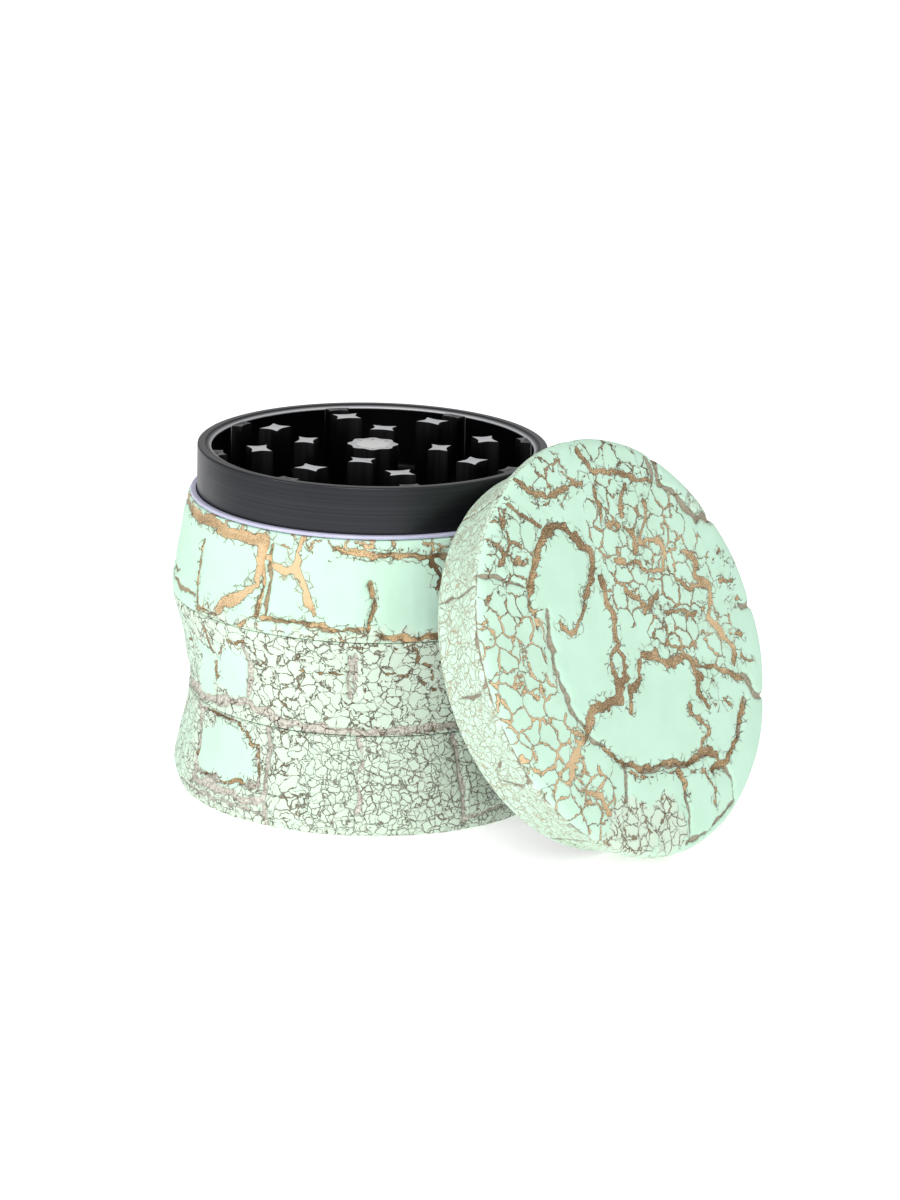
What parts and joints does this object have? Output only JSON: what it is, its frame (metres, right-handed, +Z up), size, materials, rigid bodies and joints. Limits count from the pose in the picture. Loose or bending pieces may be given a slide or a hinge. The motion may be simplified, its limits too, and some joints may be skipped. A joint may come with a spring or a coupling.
{
  "type": "herb grinder",
  "caption": "Hand grinder for dried herbs: screwed tiers with a toothed bowl, screen and catcher, in crackled mint paint, with its lid leaning on the stack.",
  "frame": {"origin": "bottom centre of the stack, on the surface that it stands on", "axes": "+Z up along the stack's axis, +X to the viewer's right, +Y away from the viewer"},
  "size_m": [0.0945, 0.0891, 0.0621],
  "materials": {
    "mint_crackle": "turned aluminium, crackled pale mint paint over a gold-brown ground, black inside",
    "black_anodised": "satin black anodised, fine turning lines",
    "bare_aluminium": "turned",
    "steel_mesh": "fine woven stainless wire",
    "white_nylon": "smooth, slightly translucent",
    "nickel_magnet": "bright nickel plate"
  },
  "bodies": {
    "pollen_catcher": {"pollen_catcher": "mint_crackle"},
    "sieve_insert": {"sieve_screen": "steel_mesh", "screen_retaining_ring": "bare_aluminium"},
    "sieve_chamber": {"sieve_chamber": "mint_crackle"},
    "friction_ring": {"friction_ring": "white_nylon"},
    "grinding_chamber": {"grinding_chamber": "black_anodised", "chamber_magnet": "nickel_magnet"},
    "lid_magnet": {"lid_magnet": "nickel_magnet"},
    "lid": {"lid": "mint_crackle"}
  },
  "joints": [
    {"name": "sieve_rise", "type": "slide", "parent": "pollen_catcher", "child": "sieve_insert", "axis": [0, 0, 1], "range_m": [0, 0.00226]},
    {"name": "sieve_unscrew", "type": "hinge", "parent": "sieve_insert", "child": "sieve_chamber", "pos_m": [0, 0, 0.0158], "axis": [0, 0, 1], "range_deg": [0, 540]},
    {"name": "chamber_rise", "type": "slide", "parent": "sieve_chamber", "child": "friction_ring", "axis": [0, 0, 1], "range_m": [0, 0.00226]},
    {"name": "chamber_unscrew", "type": "hinge", "parent": "friction_ring", "child": "grinding_chamber", "pos_m": [0, 0, 0.0317], "axis": [0, 0, 1], "range_deg": [0, 540]},
    {"name": "lid_lift", "type": "slide", "parent": "pollen_catcher", "child": "lid_magnet", "axis": [0, 0, 1], "range_m": [0, 0.07]},
    {"name": "lid_turn", "type": "hinge", "parent": "lid_magnet", "child": "lid", "pos_m": [0.03197, -0.0244, 0.02771], "axis": [0.7133, -0.5818, 0.3907], "continuous": true}
  ],
  "couplings": [
    {"joint": "sieve_rise", "follows": "sieve_unscrew", "m_per_rad": 0.00023873},
    {"joint": "chamber_rise", "follows": "chamber_unscrew", "m_per_rad": 0.00023873}
  ]
}
